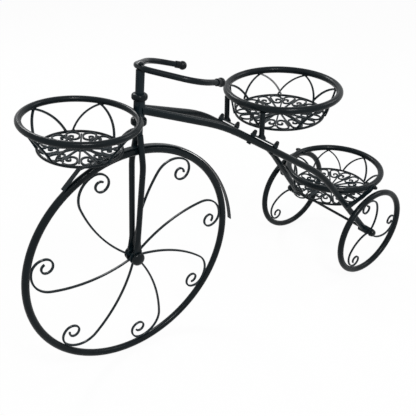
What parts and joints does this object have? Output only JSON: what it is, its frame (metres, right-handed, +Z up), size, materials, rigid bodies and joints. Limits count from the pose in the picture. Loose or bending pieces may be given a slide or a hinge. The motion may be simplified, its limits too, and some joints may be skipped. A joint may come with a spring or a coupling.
{
  "type": "bicycle planter",
  "caption": "Plant stand shaped like an old high-wheel tricycle, with scroll-spoked wheels, steering handlebar and round wire baskets for flower pots.",
  "frame": {"origin": "centre of the stand's footprint, on the floor the wheels stand on", "axes": "+X to the rear along the tricycle, +Y to its far side in the picture, +Z up"},
  "size_m": [0.8338, 0.2726, 0.5488],
  "materials": {
    "black_paint": "satin black powder coat",
    "black_fastener": "black coated steel, slightly glossier",
    "black_grip": "black moulded ball"
  },
  "bodies": {
    "frame": {"axle_sleeves": "black_paint", "backbone_far": "black_paint", "backbone_near": "black_paint", "front_basket_arches": "black_paint", "front_basket_base_ring": "black_paint", "front_basket_grille": "black_paint", "front_basket_rim": "black_paint", "head_collars": "black_paint", "head_sleeve": "black_paint", "lower_basket_arches": "black_paint", "lower_basket_base_ring": "black_paint", "lower_basket_grille": "black_paint", "lower_basket_rim": "black_paint", "lower_bracket_bolts": "black_fastener", "lower_bracket_far": "black_paint", "lower_bracket_near": "black_paint", "lower_bracket_nuts": "black_fastener", "rear_axle": "black_fastener", "rear_axle_nuts": "black_fastener", "saddle_bolts": "black_fastener", "saddle_nuts": "black_fastener", "saddle_spacers": "black_paint", "saddle_strap_far": "black_paint", "saddle_strap_near": "black_paint", "upper_basket_arches": "black_paint", "upper_basket_base_ring": "black_paint", "upper_basket_grille": "black_paint", "upper_basket_rim": "black_paint", "upper_post_far": "black_paint", "upper_post_near": "black_paint"},
    "fork": {"fender": "black_paint", "fork_leg_far": "black_paint", "fork_leg_near": "black_paint", "front_axle": "black_fastener", "front_axle_nuts": "black_fastener", "grip_far": "black_grip", "grip_near": "black_grip", "handlebar": "black_paint", "handlebar_bolt": "black_fastener", "steering_tube": "black_paint"},
    "front_wheel": {"front_hub": "black_paint", "front_rim": "black_paint", "front_spoke_1": "black_paint", "front_spoke_2": "black_paint", "front_spoke_3": "black_paint", "front_spoke_4": "black_paint", "front_spoke_5": "black_paint", "front_spoke_6": "black_paint", "front_spoke_7": "black_paint"},
    "rear_wheel_near": {"rear_hub_near": "black_paint", "rear_rim_near": "black_paint", "rear_spoke_near_1": "black_paint", "rear_spoke_near_2": "black_paint", "rear_spoke_near_3": "black_paint"},
    "rear_wheel_far": {"rear_hub_far": "black_paint", "rear_rim_far": "black_paint", "rear_spoke_far_1": "black_paint", "rear_spoke_far_2": "black_paint", "rear_spoke_far_3": "black_paint"}
  },
  "joints": [
    {"name": "steering", "type": "hinge", "parent": "frame", "child": "fork", "pos_m": [-0.2105, 0, 0.20635], "axis": [0.1085, 0, 0.9941], "range_deg": [-45, 45]},
    {"name": "front_wheel_spin", "type": "hinge", "parent": "fork", "child": "front_wheel", "pos_m": [-0.2105, 0, 0.20635], "axis": [0, 1, 0], "continuous": true},
    {"name": "rear_wheel_near_spin", "type": "hinge", "parent": "frame", "child": "rear_wheel_near", "pos_m": [0.3105, -0.1173, 0.09965], "axis": [0, 1, 0], "continuous": true},
    {"name": "rear_wheel_far_spin", "type": "hinge", "parent": "frame", "child": "rear_wheel_far", "pos_m": [0.3105, 0.1173, 0.09965], "axis": [0, 1, 0], "continuous": true}
  ]
}
